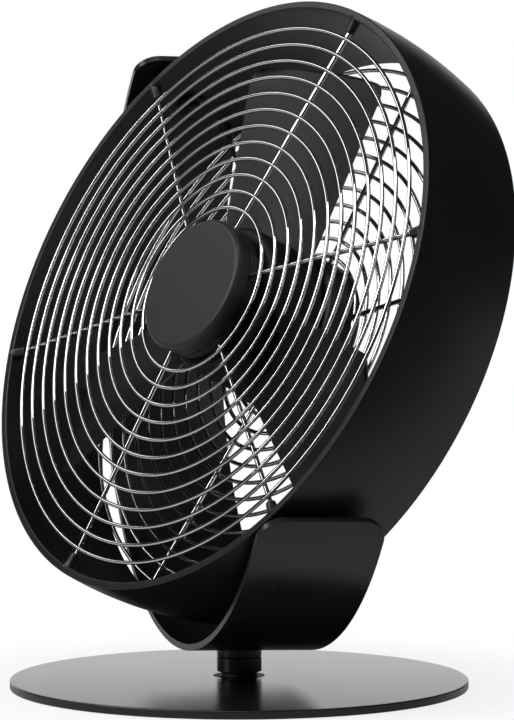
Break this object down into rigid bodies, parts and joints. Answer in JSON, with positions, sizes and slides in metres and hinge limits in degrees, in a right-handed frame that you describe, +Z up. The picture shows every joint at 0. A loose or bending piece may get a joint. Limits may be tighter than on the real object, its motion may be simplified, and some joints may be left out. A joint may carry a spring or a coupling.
{
  "type": "desk fan",
  "caption": "Round desk air circulator: a barrel-shaped fan head with wire grilles, tilting on a slanted axis in a bent band that swivels on a short post over a thin round base.",
  "frame": {"origin": "centre of the base on the surface it stands on, under the post", "axes": "+Z up, X across the band with its short arm on +X, Y along the band width with the air outlet towards -Y"},
  "size_m": [0.2239, 0.158, 0.2359],
  "materials": {
    "satin_black_steel": "fine satin powder coat",
    "satin_black_housing": "satin moulded plastic",
    "black_plastic": "satin moulded plastic",
    "nylon": "matt black nylon",
    "chromed_wire": "bright chrome plated wire",
    "steel": "zinc plated steel",
    "rubber": "matt rubber sheet",
    "copper": "enamelled copper wire",
    "ferrite": "sintered ferrite",
    "board": "solder-resist green laminate"
  },
  "bodies": {
    "base": {"base_plate": "satin_black_steel", "foot_pad": "rubber", "swivel_bush": "nylon"},
    "bracket": {"swivel_screw": "steel", "swivel_washer": "steel", "post": "satin_black_steel", "band_screw_1": "steel", "band_screw_2": "steel", "bracket_band": "satin_black_steel", "pivot_pin_low": "steel", "pivot_pin_high": "steel", "tilt_washer_low": "rubber", "tilt_washer_high": "rubber", "tilt_clip_low": "steel", "tilt_clip_high": "steel"},
    "head": {"housing_shell": "satin_black_housing", "tilt_bush_low": "nylon", "tilt_bush_high": "nylon", "front_grille": "chromed_wire", "rear_grille": "chromed_wire", "hub_cap": "black_plastic", "hub_back": "black_plastic", "hub_screw_1": "steel", "hub_screw_2": "steel", "hub_screw_3": "steel", "motor_mount": "black_plastic", "bearing_front": "steel", "bearing_rear": "steel", "stator_core": "steel", "stator_coil_1": "copper", "stator_coil_2": "copper", "stator_coil_3": "copper", "stator_coil_4": "copper", "stator_coil_5": "copper", "stator_coil_6": "copper", "circuit_board": "board", "switch_body": "steel", "power_inlet": "black_plastic", "motor_cover": "black_plastic", "cover_screw_1": "steel", "cover_screw_2": "steel", "cover_screw_3": "steel"},
    "rotor": {"impeller": "black_plastic", "rotor_cup": "steel", "magnet_ring": "ferrite", "motor_shaft": "steel", "shaft_clip": "steel"},
    "button": {"power_button": "black_plastic"}
  },
  "joints": [
    {"name": "base_swivel", "type": "hinge", "parent": "base", "child": "bracket", "pos_m": [0, 0, 0], "axis": [0, 0, 1], "range_deg": [-180, 180]},
    {"name": "head_tilt", "type": "hinge", "parent": "bracket", "child": "head", "pos_m": [0, 0.00366, 0.12958], "axis": [-0.7668, 0.0203, 0.6415], "range_deg": [-119.89, 60.11]},
    {"name": "rotor_spin", "type": "hinge", "parent": "head", "child": "rotor", "pos_m": [0, 0.00366, 0.12958], "axis": [0.3199, -0.8544, 0.4094], "continuous": true},
    {"name": "button_press", "type": "slide", "parent": "head", "child": "button", "axis": [0.3199, -0.8544, 0.4094], "range_m": [0, 0.0008], "stiffness_N_per_m": 600, "springref_m": -0.0004}
  ]
}
